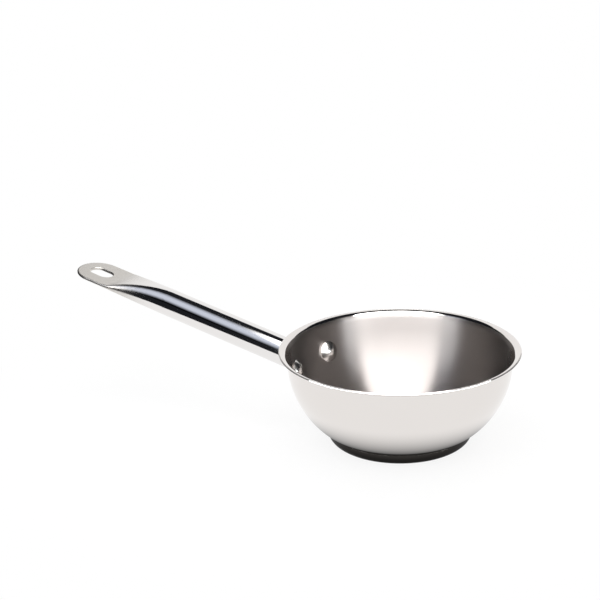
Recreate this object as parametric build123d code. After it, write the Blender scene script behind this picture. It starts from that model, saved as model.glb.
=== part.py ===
"""A small saucier pan: spun steel bowl, clad base and hollow tubular handle.

The pan's axis is Z and the underside of its base lies on z = 0. The handle runs out along -X and
the pan is the same on both sides of the XZ plane. Sizes are in millimetres, angles in degrees.
"""
import os
from math import asin, atan2, cos, degrees, radians, sin, sqrt, tan

from build123d import *

# Bowl, measured on the outside of its sheet
sheet = 1.2
rim_radius = 85.6
rim_height = 67.7
rim_roll = 4.9
rim_turn = 88.0
wall_lean = 6.2
wall_run = 8.9
floor_curve = 9.0
floor_height = 5.2

# Clad base: a heat spreading disc inside a pressed steel cap
cap_radius = 52.0
cap_overhang = 6.6
cap_edge = 6.0
cap_sheet = 0.6
disc_clearance = 0.05

# Handle, a round tube that is pressed flat towards its end
tube_diameter = 21.2
tube_wall = 1.1
handle_drop = 24.5
handle_tilt = 11.9
handle_length = 213.6
press_length = 57.5
steepest_share = 0.85
paddle_length = 32.5
paddle_width = 36.0
least_flat = 0.06
slot_length = 19.6
slot_width = 12.5
slot_to_tip = 9.4
seam_length = 2.0
pinch_setback = 4.5
edge_break = 0.4

# Bracket between the bowl and the tube, with a spigot inside the tube
bracket_sheet = 2.0
bracket_middle = 28.0
bracket_ear = 22.0
spigot_reach = 14.0
spigot_wall = 1.5
spigot_clearance = 0.1

# Rivets
rivet_spread = 44.6
rivet_rise = 1.0
rivet_shank = 6.0
rivet_clearance = 0.1
rivet_head = 15.4
rivet_head_height = 4.8
rivet_head_edge = 1.6
rivet_tail = 11.0
rivet_tail_height = 1.8
rivet_tail_edge = 0.7

# Stretch by which cutting shapes pass what they cut
overrun = 20.0

# Sections that shape the pressed stretch of the tube
press_sections = 17


def outward(lean):
    """Unit normal, in the meridian plane, of a wall that leans out by this angle."""
    return Vector(cos(radians(lean)), -sin(radians(lean)))


def uphill(lean):
    """Unit direction, in the meridian plane, in which such a wall climbs."""
    return Vector(sin(radians(lean)), cos(radians(lean)))


# Centres of the meridian's arcs. The wall hangs from the rim and the flat floor lies on the clad
# base; one arc joins the wall's foot to the knuckle round the floor, and touches both.
lip_radius = sheet / 2
rim_centre = Vector(rim_radius, rim_height) + (rim_roll + lip_radius) * outward(rim_turn)
rim_centre -= Vector(lip_radius, lip_radius)
wall_top = rim_centre - rim_roll * outward(wall_lean)
wall_foot = wall_top - wall_run * uphill(wall_lean)
knuckle_centre = Vector(cap_radius - cap_overhang, floor_height + floor_curve)
knuckle_span = wall_foot - knuckle_centre
side_reach = knuckle_span.dot(outward(wall_lean)) - floor_curve
side_curve = (knuckle_span.length**2 - floor_curve**2) / (2 * side_reach)
side_centre = wall_foot - side_curve * outward(wall_lean)
knuckle_offset = knuckle_centre - side_centre
knuckle_lean = degrees(atan2(-knuckle_offset.Y, knuckle_offset.X))
level_lean = 90


def wall_arc(centre, radius, start, end):
    """Arc of the meridian between two leans, on the side of its centre that the radius' sign says."""
    spots = [centre + radius * outward(lean) for lean in (start, (start + end) / 2, end)]
    return ThreePointArc(*spots)


def meridian(inset):
    """Edges from the axis to the lip, along a surface this far inside the bowl's outside."""
    knuckle = wall_arc(knuckle_centre, floor_curve - inset, level_lean, knuckle_lean)
    side = wall_arc(side_centre, side_curve - inset, knuckle_lean, wall_lean)
    rim = wall_arc(rim_centre, -rim_roll - inset, wall_lean, rim_turn)
    floor = Line((0, floor_height + inset), knuckle @ 0)
    return [floor, knuckle, side, Line(side @ 1, rim @ 0), rim]


def spun(edges):
    """Solid turned about the pan's axis from a closed outline of edges."""
    return revolve(Plane.XZ * Face(Wire(edges)), Axis.Z)


def filled_bowl(inset):
    """Everything inside a surface this far within the bowl's outside, up to its lip."""
    edges = meridian(inset)
    lip = edges[-1] @ 1
    top = Line(lip, (0, lip.Y))
    return spun(edges + [top, Line(top @ 1, edges[0] @ 0)])


def side_radius(height):
    """Outside radius of the bowl at a height between its floor and its rim."""
    if height > wall_foot.Y:
        return wall_foot.X + (height - wall_foot.Y) * tan(radians(wall_lean))
    return side_centre.X + sqrt(side_curve**2 - (side_centre.Y - height) ** 2)


def side_lean(height):
    """Angle by which the bowl's side leans out at a height."""
    if height > wall_foot.Y:
        return wall_lean
    return degrees(asin((side_centre.Y - height) / side_curve))


# Where the handle and its rivets meet the bowl
root_height = rim_height - handle_drop
root_spot = Vector(-side_radius(root_height), 0, root_height)
rivet_height = root_height + rivet_rise
rivet_turn = degrees(asin(rivet_spread / 2 / side_radius(rivet_height)))
press_end = handle_length - paddle_length
press_start = press_end - press_length
slot_start = handle_length - slot_to_tip - slot_length
cavity_end = min(press_end - pinch_setback, slot_start - seam_length)


def rivet_plane(side):
    """Plane on the bowl's outside at one rivet, whose normal points out of the bowl."""
    normal = outward(side_lean(rivet_height))
    spot = (-side_radius(rivet_height), 0, rivet_height)
    facing = Plane(spot, x_dir=(0, 1, 0), z_dir=(-normal.X, 0, normal.Y))
    return Plane(Rotation(0, 0, side * rivet_turn) * facing.location)


def rivet_hole(side):
    """Hole through the bowl and the bracket for one rivet."""
    return rivet_plane(side) * Cylinder((rivet_shank + rivet_clearance) / 2, overrun)


def make_pan_body():
    """Spun bowl with its floor, side and rolled pouring rim, pierced for the rivets."""
    outside = meridian(0)
    inside = meridian(sheet)
    lip_centre = (outside[-1] @ 1 + inside[-1] @ 1) / 2
    lip_end = lip_centre + lip_radius * uphill(rim_turn)
    lip = ThreePointArc(outside[-1] @ 1, lip_end, inside[-1] @ 1)
    axis_line = Line(inside[0] @ 0, outside[0] @ 0)
    body = spun(outside + [lip] + inside + [axis_line])
    for side in (-1, 1):
        body -= rivet_hole(side)
    return body


def cap_blank(inset):
    """Solid of the base cap's outside, or this far within it, up into the bowl's side."""
    radius = cap_radius - inset
    edge = cap_edge - inset
    corner = wall_arc(Vector(radius - edge, cap_edge), edge, level_lean, 0)
    bottom = Line((0, inset), corner @ 0)
    side = Line(corner @ 1, (radius, wall_foot.Y))
    lid = Line(side @ 1, (0, wall_foot.Y))
    return spun([bottom, corner, side, lid, Line(lid @ 1, bottom @ 0)])


def make_base_cap():
    """Pressed steel cup that closes over the disc and meets the bowl at its rim."""
    return cap_blank(0) - cap_blank(cap_sheet) - filled_bowl(0)


def make_heat_spreader_disc():
    """Thick disc that fills the cap up to the underside of the bowl."""
    reach = cap_radius - cap_sheet - disc_clearance
    blank = cap_blank(cap_sheet) & Cylinder(reach, 2 * wall_foot.Y)
    return blank - filled_bowl(0)


def handle_plane(distance):
    """Plane square to the handle at a distance from its root, with its Y side up."""
    tilt = radians(handle_tilt)
    along = Vector(-cos(tilt), 0, sin(tilt))
    return Plane(root_spot + distance * along, x_dir=(0, -1, 0), z_dir=along)


def pressed_size(distance, round_size, flat_size):
    """Size that eases from the round tube's to the flat paddle's, steepest late in the press."""
    share = min(max(0, distance - press_start) / press_length, 1)
    if share < steepest_share:
        eased_share = share**2 / steepest_share
    else:
        eased_share = 1 - (1 - share) ** 2 / (1 - steepest_share)
    return round_size + (flat_size - round_size) * eased_share


def half_thickness(distance):
    """Half the tube's thickness, down to its two walls pressed together."""
    return pressed_size(distance, tube_diameter / 2, tube_wall)


def half_flat(distance):
    """Half the width of the tube's flat face; a round section keeps a hairline one."""
    return pressed_size(distance, least_flat, paddle_width / 2 - tube_wall)


def tube_section(distance, inset):
    """Section of the tube's outside, or this far within it."""
    thickness = 2 * (half_thickness(distance) - inset)
    return handle_plane(distance) * SlotCenterToCenter(2 * half_flat(distance), thickness)


def pressed_bar(inset, end):
    """Solid of the tube from inside the bowl to a distance, at this depth under its skin."""
    start = tube_section(0, inset)
    bar = extrude(start, press_start) + extrude(start, -overrun)
    step = (end - press_start) / (press_sections - 1)
    stations = [press_start + step * count for count in range(press_sections)]
    return bar + loft([tube_section(station, inset) for station in stations])


def make_paddle():
    """Flat end of the handle with its rounded tip."""
    reach = paddle_width / 2
    straight = extrude(tube_section(press_end, 0), handle_length - reach - press_end)
    tip = handle_plane(handle_length - reach)
    half = tube_section(handle_length - reach, 0)
    half = split(half, bisect_by=Plane(tip.origin, x_dir=tip.z_dir, z_dir=tip.x_dir))
    return straight + revolve(half, Axis(tip.origin, -tip.y_dir), 180)


def slot_plane():
    """Plane through the middle of the hanging slot, square to the handle."""
    return handle_plane(slot_start + slot_length / 2)


def slot_cutter():
    """Hanging slot near the handle's tip, pierced square to the paddle."""
    place = slot_plane()
    face = Plane(place.origin, x_dir=place.z_dir, z_dir=place.y_dir)
    return extrude(face * SlotOverall(slot_length, slot_width), overrun, both=True)


def make_handle_tube():
    """Hollow tube, mitred to the bracket, pressed into a flat paddle with a hanging slot."""
    whole = pressed_bar(0, press_end) - pressed_bar(tube_wall, cavity_end)
    whole += make_paddle()
    pierced = whole - slot_cutter()
    place = slot_plane()
    corners = [
        edge
        for edge in new_edges(whole, combined=pierced)
        if abs(place.to_local_coords(edge.center()).Y) > tube_wall / 2
    ]
    return fillet(corners, edge_break) - filled_bowl(-bracket_sheet)


def bracket_outline():
    """Plate outline seen along the handle: a round middle and two smaller round ears."""
    face = Plane((0, 0, root_height), x_dir=(0, 1, 0), z_dir=(-1, 0, 0))
    middle = Circle(bracket_middle / 2).edge()
    ears = [Pos(side * rivet_spread / 2, 0) * Circle(bracket_ear / 2).edge() for side in (-1, 1)]
    return face * make_hull([middle] + ears)


def make_handle_bracket():
    """Curved plate riveted to the bowl, with the spigot that the tube slides over."""
    plate = extrude(bracket_outline(), rim_radius + overrun)
    plate &= filled_bowl(-bracket_sheet) - filled_bowl(0)
    bore = tube_diameter / 2 - tube_wall - spigot_clearance
    ring = Circle(bore) - Circle(bore - spigot_wall)
    spigot = extrude(handle_plane(-overrun) * ring, overrun + spigot_reach)
    bracket = plate + (spigot - filled_bowl(0))
    for side in (-1, 1):
        bracket -= rivet_hole(side)
    return bracket


def button(radius, height, edge, depth):
    """Domed button turned about Z, standing on z = 0, with a stem of the same radius below."""
    crown = ThreePointArc((radius, edge), button_shoulder(radius, height, edge), (0, height))
    side = Line((radius, -depth), (radius, edge))
    bottom = Line((0, -depth), (radius, -depth))
    return spun([bottom, side, crown, Line((0, height), (0, -depth))])


def button_shoulder(radius, height, edge):
    """Middle of the round crown between the button's edge and its top."""
    rise = height - edge
    crown_radius = (radius**2 + rise**2) / (2 * rise)
    half_angle = asin(radius / crown_radius) / 2
    return (crown_radius * sin(half_angle), height - crown_radius * (1 - cos(half_angle)))


def make_rivet(side):
    """One rivet: domed head inside the bowl, shank, and a low head set on the bracket."""
    plane = rivet_plane(side)
    head = button(rivet_head / 2, rivet_head_height, rivet_head_edge, sheet)
    head = plane * Pos(0, 0, -sheet) * Rot(180, 0, 0) * head
    tail = button(rivet_tail / 2, rivet_tail_height, rivet_tail_edge, bracket_sheet)
    tail = plane * Pos(0, 0, bracket_sheet) * tail
    shank_length = sheet + rivet_head_edge + bracket_sheet + rivet_tail_edge
    shank = Pos(0, 0, (bracket_sheet + rivet_tail_edge - sheet - rivet_head_edge) / 2)
    shank = plane * shank * Cylinder(rivet_shank / 2, shank_length)
    return (head & filled_bowl(sheet)) + shank + (tail - filled_bowl(-bracket_sheet))


def make_handle_rivets():
    """Both rivets, one on each side of the handle."""
    return Compound([make_rivet(side).solid() for side in (-1, 1)])


def main():
    """Write one STEP file for each piece."""
    os.makedirs("parts", exist_ok=True)
    pieces = {
        "pan_body": make_pan_body(),
        "heat_spreader_disc": make_heat_spreader_disc(),
        "base_cap": make_base_cap(),
        "handle_bracket": make_handle_bracket(),
        "handle_tube": make_handle_tube(),
        "handle_rivets": make_handle_rivets(),
    }
    for name, piece in pieces.items():
        export_step(piece, f"parts/{name}.step")


if __name__ == "__main__":
    main()
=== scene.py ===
"""Looks of the saucier pan: polished steel outside, brushed steel inside, in a plain white studio.

Lengths are in metres and angles in degrees. The studio is laid out with the camera on -Y. It is then
turned about Z, so that the handle, on the pan's -X, points back and to the picture's left.
"""
import math

import bpy
from mathutils import Matrix, Vector


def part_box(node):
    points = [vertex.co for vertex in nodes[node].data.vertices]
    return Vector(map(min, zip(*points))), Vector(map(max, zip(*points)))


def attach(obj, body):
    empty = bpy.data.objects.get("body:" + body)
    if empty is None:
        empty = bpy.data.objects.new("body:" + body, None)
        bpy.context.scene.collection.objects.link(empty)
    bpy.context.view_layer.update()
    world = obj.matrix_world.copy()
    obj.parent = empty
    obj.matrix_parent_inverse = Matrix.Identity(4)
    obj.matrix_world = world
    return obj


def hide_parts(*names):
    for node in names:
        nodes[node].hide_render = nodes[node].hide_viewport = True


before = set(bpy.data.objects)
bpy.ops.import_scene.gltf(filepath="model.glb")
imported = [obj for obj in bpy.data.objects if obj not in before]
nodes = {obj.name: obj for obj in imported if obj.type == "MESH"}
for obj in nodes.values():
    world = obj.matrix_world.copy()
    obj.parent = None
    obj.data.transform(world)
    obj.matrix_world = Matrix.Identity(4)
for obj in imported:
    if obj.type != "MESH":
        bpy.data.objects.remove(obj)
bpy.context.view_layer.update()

# Camera, from the photograph's perspective, with pixels counted from the picture's top left corner
CAMERA_TURN = 28.0
CAMERA_RISE = 22.84
CAMERA_DISTANCE = 0.9
CAMERA_TARGET = Vector((0, 0, 0.030))
CLIP_RANGE = (0.01, 50.0)
SENSOR_MILLIMETRES = 36.0
FOCAL_PIXELS = 1255.5
IMAGE_PIXELS = 600
PRINCIPAL_POINT = (400.1, 396.99)

STUDIO = Matrix.Rotation(math.radians(CAMERA_TURN), 4, "Z")

# Bowl, measured on the outside of its sheet, as the frame's bowl is
SHEET = 0.0012
RIM_ROLL = 0.0049
RIM_TURN = 88.0
WALL_LEAN = 6.2
WALL_RUN = 0.0089
FLOOR_CURVE = 0.009

# Leans of a level floor, and of the rim's roll where the brushing ends, and the lip's round turn
LEVEL_LEAN = 90.0
BRUSH_TURN = 45.0
LIP_TURN = 180.0

# Base cap, with a drop across its top edge and a narrow band that keeps that edge crisp
CAP_OVERHANG = 0.0066
CAP_EDGE = 0.006
CAP_SHEET = 0.0006
CAP_DROP = 0.0012
CAP_BAND = 0.0002

# Handle, which is all satin up to the first distance from its tip and all mirror past the second
HANDLE_TILT = 11.9
SATIN_RUN = (0.030, 0.078)

# Steps round the turned pieces and along their outlines
TURN_SEGMENTS = 288
FLOOR_RINGS = 12
KNUCKLE_STEPS = 8
SIDE_STEPS = 40
WALL_STEPS = 4
RIM_STEPS = 12
LIP_STEPS = 8
CAP_STEPS = 12

# Key light over the pan, with its middle's depth and height, and the width of its soft left edge
KEY_MIDDLE = (-0.315, 0.95)
KEY_TILT = 37.0
KEY_FRONT = 1.82
KEY_BACK = 0.80
KEY_DEPTH = 1.60
KEY_STRENGTH = 6.5
KEY_FADE = 0.16

# Dim panels behind the key light, placed from its middle: sign of the side, colour and strength
PANEL_PLACE = Vector((0.80, 0.10, 0.02))
PANEL_REACH = 0.80
PANEL_CORE_SHARE = 0.15
PANELS = {
    "left": (-1, (0.80, 0.86, 1.0), 0.85),
    "right": (1, (1.0, 0.98, 0.95), 0.45),
}

# Card bent round the pan, whose light rises from its middle to its sides between two angles
FRONT_RADIUS = 0.2
FRONT_REACH = 72.0
FRONT_MIDDLE = 0.090
FRONT_HEIGHT = 0.050
FRONT_COLOR = (0.93, 0.975, 1.0)
FRONT_RISE = (32.0, 66.0)
FRONT_STRENGTHS = (7.2, 20.0)
FRONT_STEPS = 24

# Fill light, which only the table takes, since the steel doesn't mirror it
FILL_PLACE = (0, -0.1, 2.0)
FILL_WIDTH = 2.8
FILL_STRENGTH = 4.0

# Table and back, measured from the pan's axis
TABLE_HALF_WIDTH = 0.36
TABLE_HALF_DEPTH = 0.42
BACK_HEIGHT = 0.62
BACK_SWEEP = 0.12
SWEEP_STEPS = 8

# White of the table: share of plain white near the pan, the distances over which that becomes
# all of it, and the distances over which the painted shadow that the steel mirrors at the pan's
# foot fades out
PAINT_COLOR = (0.93, 0.93, 0.925)
PLAIN_SHARE = 0.90
SHADOW_REACH = (0.20, 0.35)
SHADE_REACH = (0.046, 0.090)
SHADE_POWER = 0.46

# White, and the dark room that the steel mirrors beyond the studio
WHITE = (1, 1, 1)
ROOM_COLOR = (0.012, 0.013, 0.016)

# Steels: colour, roughness, and the scale and relief of the grain
POLISHED = {"color": (0.80, 0.765, 0.74), "roughness": 0.06, "scale": 1800.0, "relief": 0.02}
BRUSHED = {"color": (0.355, 0.329, 0.317), "roughness": 0.42, "scale": 2600.0, "relief": 0.10}
# The cap's steel is darkened to near black: painted shade for the dark contact shadow that its foot
# mirrors
CAP_PAINTED_SHADE = {"color": (0.045, 0.041, 0.038), "roughness": 0.10, "scale": 1500.0, "relief": 0.03}
RIVET = {"color": (0.62, 0.60, 0.58), "roughness": 0.22, "scale": 1500.0, "relief": 0.03}
TUBE = {"color": (0.83, 0.81, 0.80), "roughness": 0.07, "scale": 1500.0, "relief": 0.01}
SATIN = {"color": (0.59, 0.565, 0.53), "roughness": 0.34}

# What brushing adds: highlights stretched across its rings, and a darker look at grazing angles
BRUSHING = {"Anisotropic": 1.0, "Anisotropic Rotation": 0.25, "Specular Tint": (0, 0, 0, 1)}

# Share of its colour that a steel keeps where it is dullest, shares of their roughness by which
# steel and satin stray from it, and the depth of the grain
DULL_SHARE = 0.97
GLOSS_SHARE = 0.2
SATIN_SHARE = 0.1
GRAIN_DEPTH = 0.0001

# Noises of the rings, of the handle's grain, which is drawn out this many times, and of patches
RING_NOISE = {"Detail": 5.0, "Roughness": 0.65}
TUBE_NOISE = {"Detail": 4.0, "Roughness": 0.6}
TUBE_DRAW = 33.0
PATCH_SCALE = 30.0
PATCH_NOISE = {"Detail": 3.0}


def new_object(name, data):
    """Object that shows a mesh or holds a camera, linked to the scene."""
    obj = bpy.data.objects.new(name, data)
    bpy.context.scene.collection.objects.link(obj)
    return obj


def new_mesh(name, verts, faces):
    """Mesh of points and faces."""
    mesh = bpy.data.meshes.new(name)
    mesh.from_pydata(verts, [], faces)
    return mesh


def strip(count):
    """Faces of a strip whose points come in pairs."""
    return [(2 * i, 2 * i + 1, 2 * i + 3, 2 * i + 2) for i in range(count)]


def add_camera():
    """Camera at the photograph's viewing angle."""
    rise = math.radians(CAMERA_RISE)
    back = STUDIO @ Vector((0, -math.cos(rise), math.sin(rise)))
    data = bpy.data.cameras.new("camera")
    data.sensor_width = SENSOR_MILLIMETRES
    data.lens = FOCAL_PIXELS / IMAGE_PIXELS * SENSOR_MILLIMETRES
    data.shift_x = 0.5 - PRINCIPAL_POINT[0] / IMAGE_PIXELS
    data.shift_y = PRINCIPAL_POINT[1] / IMAGE_PIXELS - 0.5
    data.clip_start, data.clip_end = CLIP_RANGE
    camera = new_object("camera", data)
    camera.matrix_world = (
        Matrix.Translation(CAMERA_TARGET + CAMERA_DISTANCE * back)
        @ back.to_track_quat("Z", "Y").to_matrix().to_4x4()
    )
    bpy.context.scene.camera = camera
    bpy.context.scene.view_settings.view_transform = "Standard"


def new_material(name):
    """Material with an empty node tree, and that tree."""
    material = bpy.data.materials.new(name)
    material.use_nodes = True
    material.node_tree.nodes.clear()
    return material, material.node_tree


def node(tree, kind, inputs=None, **values):
    """New node with its properties set, and its inputs set or linked."""
    made = tree.nodes.new(kind)
    for key, value in values.items():
        setattr(made, key, value)
    for key, value in (inputs or {}).items():
        if isinstance(value, bpy.types.NodeSocket):
            tree.links.new(value, made.inputs[key])
        else:
            made.inputs[key].default_value = value
    return made


def show(tree, shader, kind="ShaderNodeOutputMaterial"):
    """Make a shader the surface of the tree's material or world."""
    node(tree, kind, {"Surface": shader})


def own_place(tree):
    """Place on an object, in the object's own frame."""
    return node(tree, "ShaderNodeTexCoord").outputs["Object"]


def parts_of(tree, vector):
    """The X, Y and Z parts of a vector."""
    return node(tree, "ShaderNodeSeparateXYZ", {0: vector}).outputs


def length_of(tree, vector):
    """Length of a vector."""
    return node(tree, "ShaderNodeVectorMath", {0: vector}, operation="LENGTH").outputs["Value"]


def maths(tree, operation, *values):
    """Result of an operation on two or three values."""
    return node(tree, "ShaderNodeMath", dict(enumerate(values)), operation=operation).outputs[0]


def ramp(tree, value, start, end, low=0.0, high=1.0, style="SMOOTHSTEP"):
    """Value that eases from low to high as another runs from start to end."""
    inputs = {"Value": value, "From Min": start, "From Max": end, "To Min": low, "To Max": high}
    return node(tree, "ShaderNodeMapRange", inputs, interpolation_type=style).outputs["Result"]


def between(tree, share, low, high):
    """Value that runs evenly from low to high as a share runs from 0 to 1."""
    return ramp(tree, share, 0.0, 1.0, low, high, "LINEAR")


def tinted(tree, share, first, second):
    """Colour that runs from the first to the second as a share runs from 0 to 1."""
    inputs = {"Factor": share, "A": first, "B": second}
    return node(tree, "ShaderNodeMix", inputs, data_type="RGBA").outputs["Result"]


def mixed(tree, share, first, second):
    """Shader that runs from the first to the second as a share runs from 0 to 1."""
    return node(tree, "ShaderNodeMixShader", {"Fac": share, 1: first, 2: second}).outputs[0]


def light(tree, strength, color=WHITE):
    """Shader that gives light."""
    inputs = {"Color": (*color, 1), "Strength": strength}
    return node(tree, "ShaderNodeEmission", inputs).outputs[0]


def noise(tree, vector, scale, look):
    """Noise from 0 to 1 at a place."""
    inputs = {"Vector": vector, "Scale": scale, **look}
    return node(tree, "ShaderNodeTexNoise", inputs).outputs["Fac"]


def ring_grain(tree, scale):
    """Noise in rings round the pan's axis, as turning and polishing leave them."""
    x, y, z = parts_of(tree, own_place(tree))
    flat = node(tree, "ShaderNodeCombineXYZ", {0: x, 1: y}).outputs[0]
    rings = node(tree, "ShaderNodeCombineXYZ", {0: length_of(tree, flat), 2: z}).outputs[0]
    return noise(tree, rings, scale, RING_NOISE)


def tube_grain(tree, scale):
    """Noise drawn out along the handle, as belt polishing leaves it."""
    inputs = {
        "Vector": own_place(tree),
        "Rotation": (0, math.radians(HANDLE_TILT), 0),
        "Scale": (TUBE_DRAW, 1, 1),
    }
    drawn_out = node(tree, "ShaderNodeMapping", inputs, vector_type="TEXTURE").outputs[0]
    return noise(tree, drawn_out, scale, TUBE_NOISE)


def mirror_share(tree):
    """Share of mirror polish on the handle: none on the flat end and all of it on the tube."""
    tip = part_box("handle_tube")[0].x
    start, end = (tip + run for run in SATIN_RUN)
    return ramp(tree, parts_of(tree, own_place(tree))[0], start, end)


def uneven(tree, mean, roughness, share):
    """Roughness that strays from its own value by up to a share of it."""
    return between(tree, mean, (1 - share) * roughness, (1 + share) * roughness)


def steel(name, grain, color, roughness, scale, relief, satin=None, brushing=None):
    """Steel whose tone, gloss and surface follow fine grain lines and faint soft patches."""
    material, tree = new_material(name)
    lines = grain(tree, scale)
    patches = noise(tree, own_place(tree), PATCH_SCALE, PATCH_NOISE)
    mean = maths(tree, "MULTIPLY", maths(tree, "ADD", lines, patches), 0.5)
    dull = [DULL_SHARE * part for part in color]
    tint = tinted(tree, mean, (*dull, 1), (*color, 1))
    gloss = uneven(tree, mean, roughness, GLOSS_SHARE)
    if satin:
        share = mirror_share(tree)
        tint = tinted(tree, share, (*satin["color"], 1), tint)
        gloss = between(tree, share, uneven(tree, mean, satin["roughness"], SATIN_SHARE), gloss)
    inputs = {"Height": lines, "Strength": relief, "Distance": GRAIN_DEPTH}
    bump = node(tree, "ShaderNodeBump", inputs).outputs[0]
    inputs = {"Metallic": 1.0, "Base Color": tint, "Roughness": gloss, "Normal": bump}
    if brushing:
        around = node(tree, "ShaderNodeTangent", direction_type="RADIAL", axis="Z").outputs[0]
        inputs.update(brushing, Tangent=around)
    show(tree, node(tree, "ShaderNodeBsdfPrincipled", inputs).outputs[0])
    return material


def outward(lean):
    """Unit normal, in the plane of radius and height, of a wall that leans out by this angle."""
    lean = math.radians(lean)
    return Vector((math.cos(lean), -math.sin(lean)))


def uphill(lean):
    """Unit direction in which such a wall climbs."""
    lean = math.radians(lean)
    return Vector((math.sin(lean), math.cos(lean)))


def arc(centre, radius, start, end, steps):
    """Points of an arc between two leans."""
    leans = [start + (end - start) * step / steps for step in range(steps + 1)]
    return [centre + radius * outward(lean) for lean in leans]


def bowl_centres():
    """Centres of the rim's, the knuckle's and the side's arcs, and the side's radius.

    They are worked out from the frame's bowl and base cap, as the solid's are from its sizes."""
    low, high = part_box("pan_body")
    lip = SHEET / 2
    rim = Vector((high.x, high.z)) + (RIM_ROLL + lip) * outward(RIM_TURN) - Vector((lip, lip))
    wall_foot = rim - RIM_ROLL * outward(WALL_LEAN) - WALL_RUN * uphill(WALL_LEAN)
    knuckle = Vector((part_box("base_cap")[1].x - CAP_OVERHANG, low.z + FLOOR_CURVE))
    span = wall_foot - knuckle
    reach = span.dot(outward(WALL_LEAN)) - FLOOR_CURVE
    side_curve = (span.length_squared - FLOOR_CURVE**2) / (2 * reach)
    return rim, knuckle, wall_foot - side_curve * outward(WALL_LEAN), side_curve


def meridian(inset):
    """Points from the axis to where the brushing ends, and from there to the lip.

    They lie this far inside the bowl's outside."""
    rim, knuckle, side, side_curve = bowl_centres()
    offset = knuckle - side
    knuckle_lean = math.degrees(math.atan2(-offset.y, offset.x))
    corner = arc(knuckle, FLOOR_CURVE - inset, LEVEL_LEAN, knuckle_lean, KNUCKLE_STEPS)
    reach, height = corner[0]
    floor = [Vector((reach * ring / FLOOR_RINGS, height)) for ring in range(FLOOR_RINGS)]
    curve = arc(side, side_curve - inset, knuckle_lean, WALL_LEAN, SIDE_STEPS)[1:]
    low_roll = arc(rim, -RIM_ROLL - inset, WALL_LEAN, BRUSH_TURN, RIM_STEPS)
    high_roll = arc(rim, -RIM_ROLL - inset, BRUSH_TURN, RIM_TURN, RIM_STEPS)[1:]
    wall = [curve[-1].lerp(low_roll[0], step / WALL_STEPS) for step in range(1, WALL_STEPS)]
    return floor + corner + curve + wall + low_roll, high_roll


def bowl_outline():
    """Closed half section from the underside's middle over the lip to the floor's middle.

    Each point is a radius, a height and the index of the material from it to the next point."""
    below, above = meridian(0)
    brushed_run, polished_run = meridian(SHEET)
    middle = (above[-1] + polished_run[-1]) / 2
    turns = [RIM_TURN + LIP_TURN * step / LIP_STEPS for step in range(1, LIP_STEPS)]
    lip = [middle - SHEET / 2 * outward(turn) for turn in turns]
    outline = [(*point, 0) for point in below + above + lip + polished_run[::-1]]
    return outline + [(*point, 1) for point in brushed_run[::-1]]


def cap_outline():
    """Closed half section of the base cap, from its underside's middle to the bowl and back."""
    low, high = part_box("base_cap")
    centre = Vector((high.x - CAP_EDGE, low.z + CAP_EDGE))
    outside = arc(centre, CAP_EDGE, LEVEL_LEAN, 0, CAP_STEPS)
    inside = arc(centre, CAP_EDGE - CAP_SHEET, 0, LEVEL_LEAN, CAP_STEPS)
    top = [(high.x, high.z - CAP_BAND), (high.x, high.z), (high.x - CAP_SHEET, high.z - CAP_DROP)]
    outline = [(0, low.z), *outside, *top, *inside, (0, low.z + CAP_SHEET)]
    return [(*point, 0) for point in outline]


def turned(name, outline, materials):
    """Mesh object turned about Z from an outline that starts and ends on the axis."""
    inner = outline[1:-1]
    verts = [(0, 0, outline[0][1]), (0, 0, outline[-1][1])]
    first = len(verts)
    for radius, height, _ in inner:
        for step in range(TURN_SEGMENTS):
            angle = math.tau * step / TURN_SEGMENTS
            verts.append((radius * math.cos(angle), radius * math.sin(angle), height))
    last = len(verts) - TURN_SEGMENTS
    faces = []
    indices = []
    for step in range(TURN_SEGMENTS):
        after = (step + 1) % TURN_SEGMENTS
        faces.append((0, first + after, first + step))
        indices.append(outline[0][2])
        faces.append((1, last + step, last + after))
        indices.append(inner[-1][2])
        for row in range(len(inner) - 1):
            low = first + row * TURN_SEGMENTS
            high = low + TURN_SEGMENTS
            faces.append((low + step, low + after, high + after, high + step))
            indices.append(inner[row][2])
    mesh = new_mesh(name, verts, faces)
    for material in materials:
        mesh.materials.append(material)
    mesh.polygons.foreach_set("material_index", indices)
    mesh.shade_smooth()
    mesh.update()
    return new_object(name, mesh)


def add_bowl(polished, brushed):
    """Bowl turned finely enough to mirror evenly, polished outside and brushed inside."""
    bowl = turned("bowl", bowl_outline(), [polished, brushed])
    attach(bowl, "root")
    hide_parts("pan_body")


def add_cap(material):
    """Base cap with a finely rounded edge, so that it mirrors the table evenly."""
    cap = turned("cap", cap_outline(), [material])
    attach(cap, "root")
    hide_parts("base_cap")


def dress(name, material):
    """Give a CAD node its finish."""
    for slot in nodes[name].material_slots:
        slot.material = material


def staged(name, mesh, material, matrix):
    """Sheet of the studio, which isn't part of the pan."""
    mesh.materials.append(material)
    obj = new_object(name, mesh)
    obj.matrix_world = matrix
    return obj


def lamp(name, mesh, material, matrix=STUDIO):
    """Light card that the camera doesn't see and that casts no shadow."""
    obj = staged(name, mesh, material, matrix)
    obj.visible_camera = False
    obj.visible_shadow = False
    return obj


def flat_card(name, place, front_width, back_width, depth, material):
    """Flat light card, tapered from front to back, at a place in the studio."""
    corners = [(-front_width, -depth), (front_width, -depth), (back_width, depth), (-back_width, depth)]
    verts = [(x / 2, y / 2, 0) for x, y in corners]
    return lamp(name, new_mesh(name, verts, [(3, 2, 1, 0)]), material, STUDIO @ place)


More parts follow.
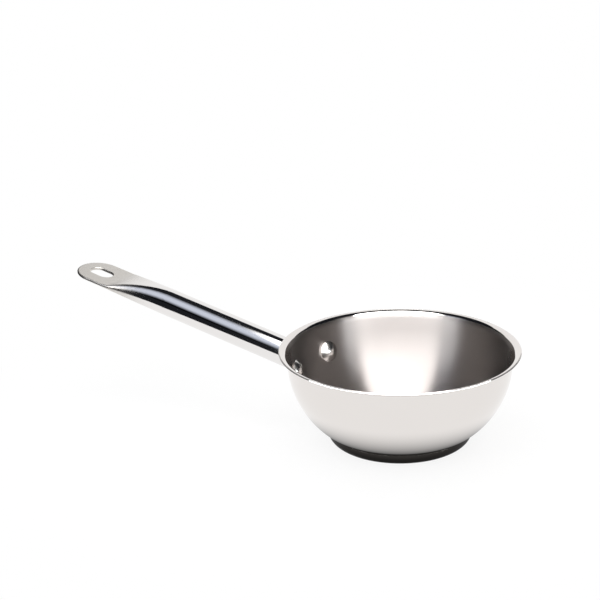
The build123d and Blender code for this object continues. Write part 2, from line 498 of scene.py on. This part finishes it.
def key_glow():
    """White light that fades along the key's left edge and lets the left panel show there."""
    material, tree = new_material("key_glow")
    x, y, _ = parts_of(tree, own_place(tree))
    taper = (KEY_BACK - KEY_FRONT) / (2 * KEY_DEPTH)
    half_width = maths(tree, "MULTIPLY_ADD", y, taper, (KEY_FRONT + KEY_BACK) / 4)
    share = ramp(tree, maths(tree, "ADD", x, half_width), 0.0, KEY_FADE)
    clear = node(tree, "ShaderNodeBsdfTransparent").outputs[0]
    show(tree, mixed(tree, share, clear, light(tree, KEY_STRENGTH)))
    return material


def panel_glow(name, color, strength):
    """Light that fades from a panel's middle to nothing at its reach."""
    material, tree = new_material(name)
    run = length_of(tree, own_place(tree))
    fade = ramp(tree, run, PANEL_CORE_SHARE * PANEL_REACH, PANEL_REACH, strength, 0.0)
    show(tree, light(tree, fade, color))
    return material


def front_glow():
    """Light that is weak in front of the pan and strong at both ends of the bent card."""
    material, tree = new_material("front_glow")
    depths = [-FRONT_RADIUS * math.cos(math.radians(angle)) for angle in FRONT_RISE]
    rise = ramp(tree, parts_of(tree, own_place(tree))[1], *depths, *FRONT_STRENGTHS)
    show(tree, light(tree, rise, FRONT_COLOR))
    return material


def fill_glow():
    """Even white light."""
    material, tree = new_material("fill_glow")
    show(tree, light(tree, FILL_STRENGTH))
    return material


def add_front_card():
    """Upright card bent round the pan, to the same angle on both sides of the camera."""
    heights = (FRONT_MIDDLE - FRONT_HEIGHT / 2, FRONT_MIDDLE + FRONT_HEIGHT / 2)
    verts = []
    for step in range(FRONT_STEPS + 1):
        angle = math.radians(FRONT_REACH * (2 * step / FRONT_STEPS - 1))
        for height in heights:
            verts.append((FRONT_RADIUS * math.sin(angle), -FRONT_RADIUS * math.cos(angle), height))
    mesh = new_mesh("front_card", verts, strip(FRONT_STEPS))
    lamp("front_card", mesh, front_glow()).visible_diffuse = False


def add_lights():
    """Large key light over the pan, a dim panel on either side of it, a bent card and a fill."""
    slope = Matrix.Translation((0, *KEY_MIDDLE)) @ Matrix.Rotation(math.radians(KEY_TILT), 4, "X")
    key = flat_card("key_card", slope, KEY_FRONT, KEY_BACK, KEY_DEPTH, key_glow())
    key.visible_diffuse = False
    for side, (sign, color, strength) in PANELS.items():
        place = slope @ Matrix.Translation((sign * PANEL_PLACE.x, PANEL_PLACE.y, PANEL_PLACE.z))
        size = [2 * PANEL_REACH] * 3
        flat_card(side + "_card", place, *size, panel_glow(side + "_glow", color, strength))
    add_front_card()
    place = Matrix.Translation(FILL_PLACE)
    fill = flat_card("fill_card", place, FILL_WIDTH, FILL_WIDTH, FILL_WIDTH, fill_glow())
    fill.visible_glossy = False


def table_white():
    """White that takes a faint shadow near the pan and is plain white to the camera farther out.

    In the steel it is an even white, with a painted shadow that darkens it at the pan's foot."""
    material, tree = new_material("table_white")
    radius = length_of(tree, own_place(tree))
    path = node(tree, "ShaderNodeLightPath").outputs
    paint = node(tree, "ShaderNodeBsdfDiffuse", {"Color": (*PAINT_COLOR, 1)}).outputs[0]
    plain = ramp(tree, radius, *SHADOW_REACH, PLAIN_SHARE, 1.0, "LINEAR")
    faint = mixed(tree, plain, paint, light(tree, 1.0))
    # What the steel mirrors: even white with a painted shadow, darker toward the pan's foot
    painted_shadow_white = light(tree, maths(tree, "POWER", ramp(tree, radius, *SHADE_REACH), SHADE_POWER))
    other = mixed(tree, path["Is Glossy Ray"], paint, painted_shadow_white)
    show(tree, mixed(tree, path["Is Camera Ray"], other, faint))
    material.cycles.emission_sampling = "NONE"
    return material


def drawn(name, line, material):
    """Sheet that runs across the studio along a line of depths and heights."""
    verts = [(x, y, z) for y, z in line for x in (-TABLE_HALF_WIDTH, TABLE_HALF_WIDTH)]
    mesh = new_mesh(name, verts, strip(len(line) - 1))
    mesh.shade_smooth()
    return staged(name, mesh, material, STUDIO)


def add_table():
    """Table under the pan, and a back that only the steel sees, so that no view is closed off."""
    material = table_white()
    drawn("table", [(-TABLE_HALF_DEPTH, 0.0), (TABLE_HALF_DEPTH, 0.0)], material)
    turns = [math.pi / 2 * step / SWEEP_STEPS for step in range(SWEEP_STEPS + 1)]
    back = [
        (TABLE_HALF_DEPTH + BACK_SWEEP * math.sin(turn), BACK_SWEEP * (1 - math.cos(turn)))
        for turn in turns
    ]
    back.append((TABLE_HALF_DEPTH + BACK_SWEEP, BACK_HEIGHT))
    drawn("backdrop", back, material).visible_camera = False


def add_world():
    """White to the camera and a dark room to everything else."""
    world = bpy.data.worlds.new("studio")
    bpy.context.scene.world = world
    world.use_nodes = True
    world.cycles.sampling_method = "NONE"
    tree = world.node_tree
    tree.nodes.clear()
    camera_ray = node(tree, "ShaderNodeLightPath").outputs["Is Camera Ray"]
    white = node(tree, "ShaderNodeBackground", {"Color": (*WHITE, 1)}).outputs[0]
    dark = node(tree, "ShaderNodeBackground", {"Color": (*ROOM_COLOR, 1)}).outputs[0]
    show(tree, mixed(tree, camera_ray, dark, white), "ShaderNodeOutputWorld")


add_camera()
add_world()
add_table()
add_lights()

polished = steel("polished_steel", ring_grain, **POLISHED)
brushed = steel("brushed_steel", ring_grain, **BRUSHED, brushing=BRUSHING)
add_bowl(polished, brushed)
# The cap's near-black steel is painted shade, for the dark contact shadow that the foot mirrors
add_cap(steel("cap_steel", ring_grain, **CAP_PAINTED_SHADE))
dress("heat_spreader_disc", polished)
dress("handle_bracket", polished)
dress("handle_rivets", steel("rivet_steel", ring_grain, **RIVET))
dress("handle_tube", steel("tube_steel", tube_grain, **TUBE, satin=SATIN))
